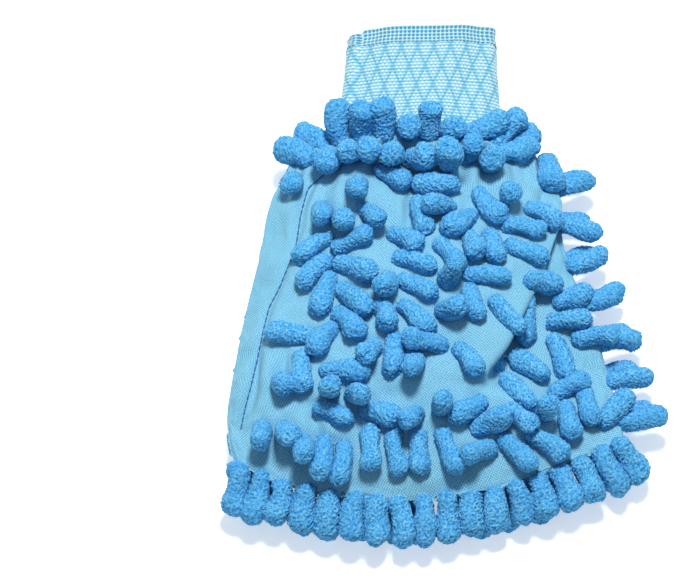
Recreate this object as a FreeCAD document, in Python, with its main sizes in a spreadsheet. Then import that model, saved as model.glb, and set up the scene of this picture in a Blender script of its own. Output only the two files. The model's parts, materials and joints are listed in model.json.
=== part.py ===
"""Chenille wash mitt, lying on its back: a cloth pocket covered in noodles, and a knitted wrist cuff.

Millimetres. +Z is up, +Y runs from the fingertips to the wrist, and the mitt rests on the noodles of its
back panel. It is modelled about the middle of the palm; every sub-part is then placed so that the origin is
at the bottom centre of the whole mitt's box.
"""

import FreeCAD, Part
import math
import os
import random

Vector = FreeCAD.Vector

# Driving dimensions: alias and value in millimetres, or degrees or a count where the name says so.
DIMENSIONS = [
    ("seam_level", 17.0),
    ("seam_thickness", 1.0),
    ("seam_allowance", 7.0),
    ("overlock_width", 1.4),
    ("cloth_thickness", 1.8),
    ("palm_crown", 19.0),
    ("mouth_crown", 12.5),
    ("back_depth", 6.9),
    ("gather_gap", 0.3),
    ("cuff_root_y", 76.5),
    ("cuff_end_y", 138.0),
    ("cuff_root_x", -9.2),
    ("cuff_end_x", -7.0),
    ("cuff_root_level", 19.8),
    ("cuff_end_level", 18.0),
    ("cuff_root_half_width", 39.0),
    ("cuff_end_half_width", 34.5),
    ("cuff_root_half_height", 9.6),
    ("cuff_end_half_height", 10.5),
    ("cuff_wall", 2.0),
    ("welt_height", 9.0),
    ("welt_overhang", 0.5),
    ("cuff_seam_height", 6.0),
    ("cuff_seam_thickness", 1.4),
    ("elastic_width", 1.0),
    ("elastic_thickness", 0.8),
    ("elastic_pitch", 8.0),
    ("elastic_count", 5),
    ("thread_width", 1.0),
    ("thread_thickness", 0.5),
    ("thread_gap", 0.2),
    ("noodle_radius", 4.5),
    ("noodle_length", 21.5),
    ("noodle_gap", 0.05),
    ("back_row_count", 6),
    ("back_pitch", 10.6),
    ("hem_pitch", 9.9),
    ("edge_pitch", 19.0),
    ("left_pitch", 26.0),
    ("neck_ahead", 3.6),
    ("wrist_y", 73.0),
    ("wrist_level", 18.0),
    ("wrist_lift_angle", 10.0),
    ("wrist_drop_angle", 30.0),
]

# The sewn outline in plan, from the hem's two corners. Each is a smooth curve through these points.
HEM = [(-91, -82), (-73, -88.5), (-45, -95.5), (-8, -97), (30, -91), (58, -80), (82, -69)]
LEFT = [(-91, -82), (-95.5, -64), (-94.5, -45), (-90.5, -17), (-85.5, 8), (-79.5, 35), (-73, 60), (-68, 71.5)]
RIGHT = [(82, -69), (80.5, -57), (76, -38), (71, -15), (64, 5), (57, 30), (54, 55), (50, 71.5)]

# The noodles of the palm, row by row from the hem: where each is sewn on, its heading in plan (0 is +X and
# 90 is +Y), and its angle over the cloth. Low angles lie down, and those about 60 stand.
PALM_ROWS = [
    [(-80, -66, -90, 60), (-70, -67, -90, 55), (-61.5, -73, -90, 50), (-53, -75, -86, 40),
     (-44, -77, -88, 35), (-32, -71, -90, 25), (-21.5, -73, -88, 22), (-10.5, -73, -90, 15),
     (1, -73, -72, 18), (19, -75.5, 205, 15), (29, -73.5, -42, 18), (37, -69, -25, 15)],
    [(-72, -43, -90, 62), (-63, -35, 262, 12), (-58, -44, -75, 15), (-49, -46, -92, 22),
     (-39, -47, -90, 55), (-40.5, -58.5, 0, 12), (-17, -63, -90, 60), (-6, -61, -90, 62),
     (16, -56, 212, 18), (17, -65, 20, 18), (31, -60, -45, 35), (41, -57, -85, 60), (51, -54, 255, 12),
     (58, -47, -82, 12), (70, -61, 45, 12)],
    [(-61, -23, 176, 15), (-54, -17, 245, 12), (-46, -22, 250, 20), (-48, -39, 2, 12),
     (-23, -28, -92, 12), (-12, -38, -92, 50), (-1, -34, 190, 20), (8.5, -33, -52, 25),
     (29, -35.5, 168, 18), (30.5, -45, -50, 12), (37, -31, -45, 20), (50, -46, 42, 10)],
    [(-54, 3, 258, 15), (-45, 2, 268, 30), (-51, -10, -28, 12), (-30, -15, -92, 40),
     (-19, -13, -95, 25), (-11, -10, -98, 12), (-1.5, -9, -72, 15), (6, -1, -62, 10), (18, -5, -75, 15),
     (38, -3, 250, 12), (38, -14, -60, 15), (49, -5, -75, 30), (54, -16, -70, 25), (57, -17, 22, 12)],
    [(-53, 13, 228, 12), (-44, 12, -33, 12), (-24, 1, -92, 60), (-17, 3, -10, 20), (13, 5, -20, 20),
     (38, 6, 0, 12)],
    [(-43, 21.5, 28, 12), (-51.5, 24, 215, 15), (-18, 28, -20, 12), (-15, 18, -30, 18),
     (1, 18, -55, 15), (12, 24, -80, 20), (22, 24, -90, 15), (31, 18, -50, 12)],
    [(-53, 40, -90, 60), (-43.5, 34, -90, 62), (-34, 39, -60, 40), (-10, 41, -75, 10),
     (2, 41.5, 190, 45), (10, 35.5, 225, 22), (16, 46, -92, 10), (25.5, 35, -42, 12),
     (37, 44, -65, 12)],
    [(-66, 58, -90, 60), (-37, 49, -90, 58), (-24.5, 58, -42, 15),
     (-14, 51.5, 0, 10), (31, 47, -80, 60)],
]
MOUTH_ROW = [(-60, 69, 150, 12), (-50, 68.5, -75, 40), (-40.5, 68, -110, 55), (-31, 68.5, -80, 62),
             (-21.5, 68, -100, 60), (-12, 68.5, -70, 68), (-2.5, 68, -95, 62), (7, 68.5, -60, 66),
             (16.5, 68, -100, 60), (26, 68.5, 8, 25), (45, 68, -100, 20)]
# The noodles on the cuff's root: the distance across from the cuff's middle, the heading, and the angle over
# the horizon. The first list stands on top, and the second fans out at the two sides.
NECK_TOP = [(-32.5, 108, 40), (-23.2, 97, 58), (-13.9, 84, 52), (-4.6, -90, 70), (4.7, 80, 58), (14, -85, 66),
            (23.3, 15, 24), (34, 50, 12)]
NECK_SIDES = [(-40, 134, 0), (40, 30, 0)]

ACROSS_STEPS = 14  # points across a cloth surface
ALONG_STEPS = 11  # points along it
THREAD_STEPS = 25  # points along a row of stitching
STANDING = 45  # noodles over this angle stand up whatever the slope of the cloth
SEED = 20
TRIES = 400

doc = FreeCAD.newDocument("wash_mitt")
sheet = doc.addObject("Spreadsheet::Sheet", "sizes")
for row, (alias, value) in enumerate(DIMENSIONS, start=1):
    sheet.set(f"A{row}", alias)
    sheet.set(f"B{row}", str(value))
    sheet.setAlias(f"B{row}", alias)
doc.recompute()

parts = {}


def size(alias):
    return float(getattr(sheet, alias))


# ---- The cloth surfaces -------------------------------------------------------------------------------


def smooth(points):
    """A curve through plan points, read from 0 at its first point to 1 at its last."""
    curve = Part.BSplineCurve()
    curve.interpolate([Vector(x, y, 0) for x, y in points])
    first, last = curve.FirstParameter, curve.LastParameter
    return lambda t: curve.value(first + t * (last - first))


def plan_patch(depth=0.0):
    """The pocket's plan at u, across, and v, from hem to mouth, set in by depth from its seams."""
    hem = [(x, y + depth) for x, y in HEM]
    left = [(x + depth, y) for x, y in LEFT]
    right = [(x - depth, y) for x, y in RIGHT]
    hem[0] = left[0] = (HEM[0][0] + depth, HEM[0][1] + depth)
    hem[-1] = right[0] = (HEM[-1][0] - depth, HEM[-1][1] + depth)
    hem_curve, left_curve, right_curve = smooth(hem), smooth(left), smooth(right)
    low_left, low_right = left_curve(0), right_curve(0)
    top_left, top_right = left_curve(1), right_curve(1)

    def plan(u, v):
        mouth = top_left * (1 - u) + top_right * u
        sides = left_curve(v) * (1 - u) + right_curve(v) * u
        ends = hem_curve(u) * (1 - v) + mouth * v
        corners = (low_left * (1 - u) + low_right * u) * (1 - v) + mouth * v
        return sides + ends - corners

    return plan


def rise(v, reach):
    """0 at the hem, growing to 1 at v = reach."""
    return (1 - (1 - min(v / reach, 1.0)) ** 2) ** 0.6


def palm_height(u, v, less=0.0):
    """Height of the palm's outer face over the seam, less a thickness."""
    crown = size("palm_crown") + (size("mouth_crown") - size("palm_crown")) * max(0.0, (v - 0.5) / 0.5) ** 1.5
    return (crown - less) * rise(v, 0.45) * (1 - (2 * u - 1) ** 2) ** 0.62


def back_height(u, v, less=0.0):
    """Depth of the back's outer face under the seam, less a thickness."""
    return -(size("back_depth") - less) * rise(v, 0.16) * (1 - (2 * u - 1) ** 4) ** 0.6


OUTER_PLAN = plan_patch()
INNER_PLAN = plan_patch(size("cloth_thickness"))


def base_level(side):
    """The level where a panel's rim meets the seam allowance: side is 1 for the palm, -1 for the back."""
    return size("seam_level") + side * size("seam_thickness") / 2


def panel_point(side, u, v, depth=0.0):
    """A point of a panel's face. depth is 0 on the outside and the cloth's thickness on the inside."""
    share = depth / size("cloth_thickness")
    outer, inner = OUTER_PLAN(u, v), INNER_PLAN(u, v)
    plan = outer * (1 - share) + inner * share
    height = palm_height(u, v, depth) if side > 0 else back_height(u, v, depth)
    return Vector(plan.x, plan.y, base_level(side) + height)


def panel_normal(side, u, v):
    """The outward direction of a panel's outer face."""
    step = 0.01
    u0, u1 = max(0.0, u - step), min(1.0, u + step)
    v0, v1 = max(0.0, v - step), min(1.0, v + step)
    across = panel_point(side, u1, v) - panel_point(side, u0, v)
    along = panel_point(side, u, v1) - panel_point(side, u, v0)
    normal = across.cross(along)
    normal.normalize()
    return normal if normal.z * side > 0 else normal * -1


def share_at(x, y):
    """The (u, v) of a plan position on the outside of a panel. Off the panel they are not between 0 and 1."""
    u = v = 0.5
    step = 0.001
    for _ in range(8):
        here = OUTER_PLAN(u, v)
        by_u = (OUTER_PLAN(u + step, v) - here) * (1 / step)
        by_v = (OUTER_PLAN(u, v + step) - here) * (1 / step)
        dx, dy = x - here.x, y - here.y
        area = by_u.x * by_v.y - by_u.y * by_v.x
        u = min(1.3, max(-0.3, u + (dx * by_v.y - dy * by_v.x) / area))
        v = min(1.3, max(-0.3, v + (by_u.x * dy - by_u.y * dx) / area))
    return u, v


def surface(point, across, along):
    """A smooth surface through point(s, t) at these values of s and t."""
    patch = Part.BSplineSurface()
    patch.interpolate([[point(s, t) for t in along] for s in across])
    return patch


def sheet_solid(outer, inner, across, along):
    """A closed sheet between two faces, each a function of s and t, with ruled walls around it."""
    top, bottom = surface(outer, across, along).toShape(), surface(inner, across, along).toShape()
    walls = []
    for edge in top.Edges:
        middle = edge.CenterOfMass
        twin = min(bottom.Edges, key=lambda e: e.CenterOfMass.distanceToPoint(middle))
        walls.append(Part.makeRuledSurface(edge, twin))
    shell = Part.makeShell([top, bottom] + walls)
    shell.sewShape()
    solid = Part.makeSolid(Part.Shell(shell.Faces))
    if solid.Volume < 0:
        solid.reverse()
    return solid


def spaced(count, first=0.0, last=1.0):
    return [first + (last - first) * i / (count - 1) for i in range(count)]


def across_share(s):
    """Crowds the points across a panel towards its two seams, where it curves most."""
    return (1 - math.cos(math.pi * s)) / 2


def along_share(t):
    """Crowds the points along a panel towards its hem."""
    return 1 - math.cos(math.pi / 2 * t)


def add_feature(label, shape):
    feature = doc.addObject("Part::Feature", label)
    feature.Label = label
    feature.Shape = shape
    parts[label] = feature
    return feature


def build_panel(label, side):
    def face(depth):
        return lambda s, t: panel_point(side, across_share(s), along_share(t), depth)

    thickness = size("cloth_thickness")
    solid = sheet_solid(face(0.0), face(thickness), spaced(ACROSS_STEPS), spaced(ALONG_STEPS))
    add_feature(label, solid)


def build_tuft_threads(label, side, rows):
    """The lockstitch thread that holds each row of noodles, just under the panel's inner face."""
    inner = surface(lambda s, t: panel_point(side, across_share(s), along_share(t), size("cloth_thickness")),
                    spaced(ACROSS_STEPS), spaced(ALONG_STEPS))
    solids = []
    for v in rows:
        first = inner.parameter(panel_point(side, 0.1, v, size("cloth_thickness")))
        last = inner.parameter(panel_point(side, 0.9, v, size("cloth_thickness")))

        def face(depth, first=first, last=last):
            def point(s, t):
                a = first[0] + (last[0] - first[0]) * s
                b = first[1] + (last[1] - first[1]) * s
                across, along = inner.getDN(a, b, 1, 0), inner.getDN(a, b, 0, 1)
                normal = across.cross(along)
                normal.normalize()
                if normal.z * side > 0:
                    normal = normal * -1
                b += (t - 0.5) * size("thread_width") / along.Length
                return inner.value(a, b) + normal * (size("thread_gap") + depth)
            return point

        solids.append(sheet_solid(face(0.0), face(size("thread_thickness")), spaced(THREAD_STEPS), spaced(3)))
    add_feature(label, Part.makeCompound(solids))


# ---- The seams ----------------------------------------------------------------------------------------


def strip_solid(edge_at, inner_at, half_thickness, start=0.0, stop=1.0):
    """A flat band between two plan curves, about the seam's level."""
    steps = spaced(12, start, stop)
    lower = size("seam_level") - half_thickness
    outer = Part.BSplineCurve()
    outer.interpolate([edge_at(t) + Vector(0, 0, lower) for t in steps])
    inner = Part.BSplineCurve()
    inner.interpolate([inner_at(t) + Vector(0, 0, lower) for t in steps])
    ends = [Part.makeLine(outer.value(outer.FirstParameter), inner.value(inner.FirstParameter)),
            Part.makeLine(outer.value(outer.LastParameter), inner.value(inner.LastParameter))]
    face = Part.Face(Part.Wire([outer.toShape(), ends[1], inner.toShape(), ends[0]]))
    return face.extrude(Vector(0, 0, 2 * half_thickness))


def build_seams():
    """The sewn allowance inside each edge of the pocket, and the overlock thread round its raw edge."""
    allowance, overlock = size("seam_allowance"), size("overlock_width")
    half = size("seam_thickness") / 2
    gap = 0.1
    inner, raw = plan_patch(allowance), plan_patch(allowance + overlock)
    edges = {
        "left_side": (lambda plan: lambda t: plan(0.0, t), 0.03),
        "right_side": (lambda plan: lambda t: plan(1.0, t), 0.03),
        "hem": (lambda plan: lambda t: plan(t, 0.0), 0.0),
    }
    for name, (edge, start) in edges.items():
        stop = 1.0
        if name == "hem":
            start, stop = 0.006, 0.994
        add_feature(f"{name}_seam", strip_solid(edge(OUTER_PLAN), edge(inner), half, start, stop))
        near = plan_patch(allowance + gap)
        thread = strip_solid(edge(near), edge(raw), half * 1.6, start + 0.05, stop - 0.05)
        add_feature(f"{name}_overlock", thread)


# ---- The gathered neck --------------------------------------------------------------------------------


def gather_point(side, s, t, depth):
    """A point of the gathered cloth between the pocket's mouth and the cuff."""
    at_mouth = panel_point(side, across_share(s), 1.0, depth)
    at_mouth.y += size("gather_gap")
    angle = math.pi * s
    at_cuff = Vector(
        size("cuff_root_x") - (size("cuff_root_half_width") - depth) * math.cos(angle),
        size("cuff_root_y") - size("gather_gap") - 0.8 * depth,
        size("cuff_root_level") + side * (0.05 + (size("cuff_root_half_height") - depth) * math.sin(angle)),
    )
    return at_mouth * (1 - t) + at_cuff * t


def build_gathers():
    thickness = size("cloth_thickness")
    for label, side in (("palm_gather", 1), ("back_gather", -1)):

        def face(depth, side=side):
            return lambda s, t: gather_point(side, s, t, depth)

        solid = sheet_solid(face(0.0), face(thickness), spaced(ACROSS_STEPS), spaced(3))
        add_feature(label, solid)


# ---- The cuff -----------------------------------------------------------------------------------------


def along_cuff(quantity, share):
    """The expression of a cuff dimension at a share of its way from root to end."""
    return f"(sizes.cuff_root_{quantity} * (1 - ({share})) + sizes.cuff_end_{quantity} * ({share}))"


def cuff_ellipse(name, y, grow):
    """One cross-section of the cuff, as an ellipse bound to the sheet. y and grow are expressions."""
    share = f"(({y}) - sizes.cuff_root_y) / (sizes.cuff_end_y - sizes.cuff_root_y)"
    ellipse = doc.addObject("Part::Ellipse", name)
    ellipse.Placement = FreeCAD.Placement(Vector(), FreeCAD.Rotation(Vector(1, 0, 0), 90))
    ellipse.setExpression("MajorRadius", f"{along_cuff('half_width', share)} + ({grow})")
    ellipse.setExpression("MinorRadius", f"{along_cuff('half_height', share)} + ({grow})")
    ellipse.setExpression("Placement.Base.x", along_cuff("x", share))
    ellipse.setExpression("Placement.Base.y", y)
    ellipse.setExpression("Placement.Base.z", along_cuff("level", share))
    return ellipse


def cuff_ring(name, start, stop, outside, inside):
    """A band of the cuff from start to stop along Y, between two offsets of its ellipse, all expressions."""
    lofts = []
    for which, grow in (("outer", outside), ("inner", inside)):
        loft = doc.addObject("Part::Loft", f"{name}_{which}")
        loft.Sections = [cuff_ellipse(f"{name}_{which}_{end}", y, grow)
                         for end, y in (("start", start), ("stop", stop))]
        loft.Solid = True
        loft.Ruled = True
        lofts.append(loft)
    ring = doc.addObject("Part::Cut", name)
    ring.Base, ring.Tool = lofts
    return ring


def build_cuff():
    welt_start = "sizes.cuff_end_y - sizes.welt_height"
    root = "sizes.cuff_root_y"
    knit = cuff_ring("cuff_knit", root, welt_start, "0", "-sizes.cuff_wall")
    welt = cuff_ring("cuff_welt", welt_start, "sizes.cuff_end_y", "sizes.welt_overhang", "-sizes.cuff_wall")
    seam_outside = "-sizes.cuff_wall - 0.05"
    seam = cuff_ring("cuff_seam", f"{root} + 0.2", f"{root} + sizes.cuff_seam_height",
                     seam_outside, f"{seam_outside} - sizes.cuff_seam_thickness")
    rings = []
    for i in range(int(size("elastic_count"))):
        start = f"sizes.cuff_end_y - 3 - {i} * sizes.elastic_pitch"
        rings.append(cuff_ring(f"elastic_{i}", f"{start} - sizes.elastic_width", start,
                               seam_outside, f"{seam_outside} - sizes.elastic_thickness"))
    elastic = doc.addObject("Part::Compound", "cuff_elastic")
    elastic.Links = rings
    for piece in (knit, welt, seam, elastic):
        parts[piece.Name] = piece
    doc.recompute()


# ---- The noodles --------------------------------------------------------------------------------------

placed = []  # (start, end) of every noodle's axis, between the centres of its two round ends
random.seed(SEED)


def segment_distance(p1, q1, p2, q2):
    """The least distance between two segments."""
    d1, d2, r = q1 - p1, q2 - p2, p1 - p2
    a, e, f = d1.dot(d1), d2.dot(d2), d2.dot(r)
    b, c = d1.dot(d2), d1.dot(r)
    denominator = a * e - b * b
    s = min(1.0, max(0.0, (b * f - c * e) / denominator)) if denominator > 1e-9 else 0.0
    t = (b * s + f) / e
    if t < 0.0:
        s, t = min(1.0, max(0.0, -c / a)), 0.0
    elif t > 1.0:
        s, t = min(1.0, max(0.0, (b - c) / a)), 1.0
    return ((p1 + d1 * s) - (p2 + d2 * t)).Length


def clear_of_others(start, end):
    least = 2 * size("noodle_radius") + size("noodle_gap")
    reach = least + size("noodle_length")
    return all(
        (start - a).Length > reach + (b - a).Length or segment_distance(start, end, a, b) >= least
        for a, b in placed
    )


def capsule(start, end):
    """A noodle: a round bar with two round ends."""
    radius = size("noodle_radius")
    axis = end - start
    length = axis.Length
    half = math.sqrt(0.5) * radius
    root = Part.Arc(Vector(0, 0, -radius), Vector(half, 0, -half), Vector(radius, 0, 0)).toShape()
    side = Part.makeLine(Vector(radius, 0, 0), Vector(radius, 0, length))
    top = Vector(0, 0, length + radius)
    tip = Part.Arc(Vector(radius, 0, length), Vector(half, 0, length + half), top).toShape()
    middle = Part.makeLine(top, Vector(0, 0, -radius))
    solid = Part.Face(Part.Wire([root, side, tip, middle])).revolve(Vector(), Vector(0, 0, 1), 360)
    solid.Placement = FreeCAD.Placement(start, FreeCAD.Rotation(Vector(0, 0, 1), axis))
    return solid


def digs_in(start, end):
    """Whether a noodle cuts into the palm."""
    for share in spaced(6):
        point = start * (1 - share) + end * share
        u, v = share_at(point.x, point.y)
        if 0 < u < 1 and 0 < v < 1:
            over = (point.z - panel_point(1, u, v).z) * panel_normal(1, u, v).z
            if over < size("noodle_radius"):
                return True
    return False


def place_noodle(start, direction, length):
    """A noodle from the centre of its root's round end, if it is clear of the others and of the floor."""
    radius = size("noodle_radius")
    end = start + direction * (length - 2 * radius)
    if min(start.z, end.z) < radius - 1e-6 or not clear_of_others(start, end) or digs_in(start, end):
        return None
    placed.append((start, end))
    return capsule(start, end)


def pointing(heading, lift, normal=Vector(0, 0, 1)):
    """The direction with a heading in plan, lifted from the plane of a normal. Both in degrees."""
    plan = Vector(math.cos(math.radians(heading)), math.sin(math.radians(heading)), 0)
    flat = plan - normal * plan.dot(normal)
    flat.normalize()
    return flat * math.cos(math.radians(lift)) + normal * math.sin(math.radians(lift))


def loosened(heading, lift, attempt):
    """(heading, lift, shift) that stray further from the first ones the more attempts have failed."""
    stray = attempt / TRIES
    shift = Vector(random.gauss(0, 8), random.gauss(0, 8), 0) * stray
    return heading + random.gauss(0, 80) * stray, min(86, max(8, lift + random.gauss(0, 60) * stray)), shift


def noodle_length():
    return size("noodle_length") * random.uniform(0.94, 1.06)


def row_stations(side, v, pitch, first, last):
    """Values of u along a row, about a pitch apart, between two shares of its width."""
    start, stop = panel_point(side, first, v), panel_point(side, last, v)
    count = max(2, int((stop - start).Length / pitch) + 1)
    return spaced(count, first, last)


def sew_on_palm(label, row):
    """A row of noodles on the palm. Returns the row's mean place between hem and mouth."""
    solids, places = [], []
    for x, y, heading, lift in row:
        length = noodle_length()
        for attempt in range(TRIES):
            turned, lifted, shift = loosened(heading, lift, attempt)
            u, v = share_at(x + shift.x, y + shift.y)
            u, v = min(0.985, max(0.015, u)), min(0.985, max(0.015, v))
            normal = panel_normal(1, u, v)
            start = panel_point(1, u, v) + normal * (size("noodle_radius") + 0.1)
            direction = pointing(turned, lifted) if lift > STANDING else pointing(turned, lifted, normal)
            noodle = place_noodle(start, direction, length)
            if noodle:
                solids.append(noodle)
                places.append(v)
                break
        else:
            print(label, "has no room at", x, y)
    add_feature(label, Part.makeCompound(solids))
    return sum(places) / len(places)


def build_palm_rows():
    """The rows of the palm, sewn on from the wrist down. They are numbered from the hem."""
    numbers = range(len(PALM_ROWS), 0, -1)
    return [sew_on_palm(f"palm_noodles_row_{number}", PALM_ROWS[number - 1]) for number in numbers]


def lay_flat(x, y, root_level, ahead, turn):
    """A noodle pressed flat on the floor. ahead is 1 towards the wrist and -1 towards the fingertips."""
    radius = size("noodle_radius")
    run = size("noodle_length") - 2 * radius
    start = Vector(x, y, root_level)
    end = Vector(x + run * math.sin(turn), y + ahead * run * math.cos(turn), radius)
    if not clear_of_others(start, end):
        return None
    placed.append((start, end))
    return capsule(start, end)


def build_back_rows():
    """Rows across the back. The mitt's weight lays them flat on the floor, all one way."""
    radius = size("noodle_radius")
    rows = spaced(int(size("back_row_count")), 0.16, 0.93)
    for number, v in enumerate(rows, start=1):
        solids = []
        for u in row_stations(-1, v, size("back_pitch"), 0.075, 0.925):
            face = panel_point(-1, u, v)
            level = min(face.z - radius - 0.2, radius + 2.0)
            noodle = lay_flat(face.x, face.y, level, -1, math.radians(random.uniform(-7, 7)))
            if noodle:
                solids.append(noodle)
        add_feature(f"back_noodles_row_{number}", Part.makeCompound(solids))
    return rows


def outward(curve, t):
    """The plan direction out of the pocket at a point of one of its edges."""
    step = 0.01
    along = curve(min(1.0, t + step)) - curve(max(0.0, t - step))
    middle = OUTER_PLAN(0.5, 0.5)
    normal = Vector(along.y, -along.x, 0)
    normal.normalize()
    return normal if normal.dot(curve(t) - middle) > 0 else normal * -1


def outward_heading(curve, turn=0.0):
    """The heading out of the pocket along one of its edges, turned by an angle."""
    def heading(t):
        out = outward(curve, t)
        return math.degrees(math.atan2(out.y, out.x)) + turn
    return heading


def hem_heading(t):
    """The hem's noodles hang straight down on the left and fan out towards the right corner."""
    return -93 + 8 * t + 38 * max(0.0, 2 * t - 1) ** 1.5


def build_edge(label, curve, stations, heading, spread, tilts, level, set_in=0.0):
    """Noodles along a seam, set in under it. tilts are the least and greatest angles over the horizon."""
    radius = size("noodle_radius")
    solids = []
    for t in stations:
        start = curve(t) + outward(curve, t) * (radius + 0.3 - set_in) + Vector(0, 0, level)
        for attempt in range(TRIES):
            direction = pointing(heading(t) + random.gauss(0, 1) * spread, random.uniform(*tilts))
            end = start + direction * (size("noodle_length") * random.uniform(0.96, 1.08) - 2 * radius)
            end.z = max(end.z, radius)
            if clear_of_others(start, end):
                placed.append((start, end))
                solids.append(capsule(start, end))
                break
    add_feature(label, Part.makeCompound(solids))


def stations_along(curve, pitch, first, last):
    steps = spaced(41, first, last)
    length = sum((curve(b) - curve(a)).Length for a, b in zip(steps, steps[1:]))
    return spaced(max(2, int(length / pitch) + 1), first, last)


def build_edges():
    """Noodles along the hem, in two layers, and along the two side seams."""
    radius = size("noodle_radius")

    def hem(t):
        return OUTER_PLAN(t, 0.0)

    def left(t):
        return OUTER_PLAN(0.0, t)

    def right(t):
        return OUTER_PLAN(1.0, t)

    pitch, edge_pitch = size("hem_pitch"), size("edge_pitch")
    level = size("seam_level")
    build_edge("hem_noodles_upper", hem, stations_along(hem, pitch, 0.01, 0.99), hem_heading, 6,
               (-22, -8), level + 0.5)
    build_edge("hem_noodles_lower", hem, stations_along(hem, pitch * 1.25, 0.03, 0.97), hem_heading, 6,
               (-14, -6), radius + 1.5, set_in=4.0)
    build_edge("right_side_noodles_upper", right, stations_along(right, edge_pitch, 0.06, 0.9),
               outward_heading(right), 13, (-9, 4), level + 1)
    build_edge("right_side_noodles_lower", right, stations_along(right, edge_pitch, 0.12, 0.96),
               outward_heading(right), 16, (-14, -4), radius + 2.0, set_in=3.0)
    build_edge("left_side_noodles_lower", left, stations_along(left, size("left_pitch"), 0.17, 0.95),
               outward_heading(left, 84), 3, (-8, -2), radius + 1.2, set_in=10.5)


def sew_on_cuff(label, noodles):
    """Noodles round the top of the cuff's root."""
    ring_y = size("cuff_root_y") + size("neck_ahead")
    centre = Vector(size("cuff_root_x"), ring_y, size("cuff_root_level"))
    grow = size("noodle_radius") + 0.4
    width, height = size("cuff_root_half_width") + grow, size("cuff_root_half_height") + grow
    solids = []
    for across, heading, lift in noodles:
        length = noodle_length()
        for attempt in range(TRIES):
            stray = attempt / TRIES
            turned, lifted = heading + random.gauss(0, 90) * stray, lift + random.gauss(0, 50) * stray
            x = across * width / (width - grow)
            start = centre + Vector(x, 0, height * math.sqrt(max(0.0, 1 - (x / width) ** 2)))
            direction = pointing(turned, lifted)
            if clear_of_cuff(start, start + direction * (length - 2 * size("noodle_radius"))):
                noodle = place_noodle(start, direction, length)
                if noodle:
                    solids.append(noodle)
                    break
        else:
            print(label, "has no room at", across)
    add_feature(label, Part.makeCompound(solids))


def clear_of_cuff(start, end):
    """Whether a noodle stays out of the cuff and of the gathered cloth behind it."""
    reach = size("noodle_radius") + 0.2
    for share in spaced(6):
        point = start * (1 - share) + end * share
        along = (point.y - size("cuff_root_y")) / (size("cuff_end_y") - size("cuff_root_y"))
        if along < -0.02:
            continue
        x = point.x - size("cuff_root_x") * (1 - along) - size("cuff_end_x") * along
        z = point.z - size("cuff_root_level") * (1 - along) - size("cuff_end_level") * along
        width = size("cuff_root_half_width") * (1 - along) + size("cuff_end_half_width") * along + reach
        height = size("cuff_root_half_height") * (1 - along) + size("cuff_end_half_height") * along + reach
        if (x / width) ** 2 + (z / height) ** 2 < 1:
            return False
    return True


def build_neck():
    """The noodles gathered round the neck, on the cuff's root. Those of the back lie under it."""
    sew_on_cuff("neck_noodles_top", NECK_TOP)
    sew_on_cuff("neck_noodles_sides", NECK_SIDES)
    solids = []
    width = size("cuff_root_half_width")
    for share in spaced(int(2 * width / size("back_pitch")) + 1, -1.0, 1.0):
        turn = share * 0.5 + math.radians(random.uniform(-3, 3))
        noodle = lay_flat(size("cuff_root_x") + 0.94 * width * share, size("cuff_root_y") + 0.5,
                          size("noodle_radius"), 1, turn)
        if noodle:
            solids.append(noodle)
    add_feature("neck_noodles_back", Part.makeCompound(solids))


def keep_wrist_clear():
    """Takes up the room that the cuff's noodles swing through, so the pocket's noodles stay out of it."""
    hinge = Vector(0, size("wrist_y"), size("wrist_level"))
    on_cuff = list(placed)
    lift, drop = size("wrist_lift_angle") + 1, size("wrist_drop_angle") + 1
    for angle in spaced(15, -drop, lift):
        turn = FreeCAD.Rotation(Vector(1, 0, 0), angle)
        for start, end in on_cuff:
            placed.append((hinge + turn.multVec(start - hinge), hinge + turn.multVec(end - hinge)))


# ---- The whole mitt -----------------------------------------------------------------------------------


def check_objects():
    for item in doc.Objects:
        if {"Invalid", "Error"} & set(item.State):
            raise RuntimeError(f"{item.Name} is {item.State}")
    for label, item in parts.items():
        shape = item.Shape
        if shape.isNull() or not shape.isValid() or not shape.Solids:
            raise RuntimeError(f"{label} has no valid shape")
        if any(solid.Volume <= 0 for solid in shape.Solids):
            raise RuntimeError(f"{label} has a solid with no volume")


def mitt_box():
    """The box of every sub-part, from points on their faces."""
    points = [p for item in parts.values() for p in item.Shape.tessellate(0.05)[0]]
    low = Vector(min(p.x for p in points), min(p.y for p in points), min(p.z for p in points))
    high = Vector(max(p.x for p in points), max(p.y for p in points), max(p.z for p in points))
    return low, high


def place_origin():
    """Places every sub-part so that the origin is at the bottom centre of the mitt's box."""
    low, high = mitt_box()
    shift = Vector(-(low.x + high.x) / 2, -(low.y + high.y) / 2, -low.z)
    for item in parts.values():
        item.Placement = FreeCAD.Placement(shift, FreeCAD.Rotation()).multiply(item.Placement)
    return shift, high - low


build_panel("palm_panel", 1)
build_panel("back_panel", -1)
build_seams()
build_gathers()
build_cuff()
build_neck()
keep_wrist_clear()
sew_on_palm("palm_noodles_mouth", MOUTH_ROW)
palm_rows = build_palm_rows()
build_edges()
back_rows = build_back_rows()
build_tuft_threads("palm_tuft_threads", 1, palm_rows)
build_tuft_threads("back_tuft_threads", -1, back_rows)
doc.recompute()
check_objects()
origin_shift, overall = place_origin()
os.makedirs("parts", exist_ok=True)
for name, part in parts.items():
    part.Shape.exportStep(os.path.join("parts", f"{name}.step"))
print("origin shift", [round(c, 3) for c in origin_shift], "overall", [round(c, 1) for c in overall])
noodle_count = sum(len(part.Shape.Solids) for name, part in parts.items() if "noodles" in name)
print("noodles", noodle_count, "nodes", len(parts))
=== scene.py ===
import json
import math

import bpy
import numpy as np
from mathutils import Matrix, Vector
from mathutils.bvhtree import BVHTree
from mathutils.kdtree import KDTree

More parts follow.
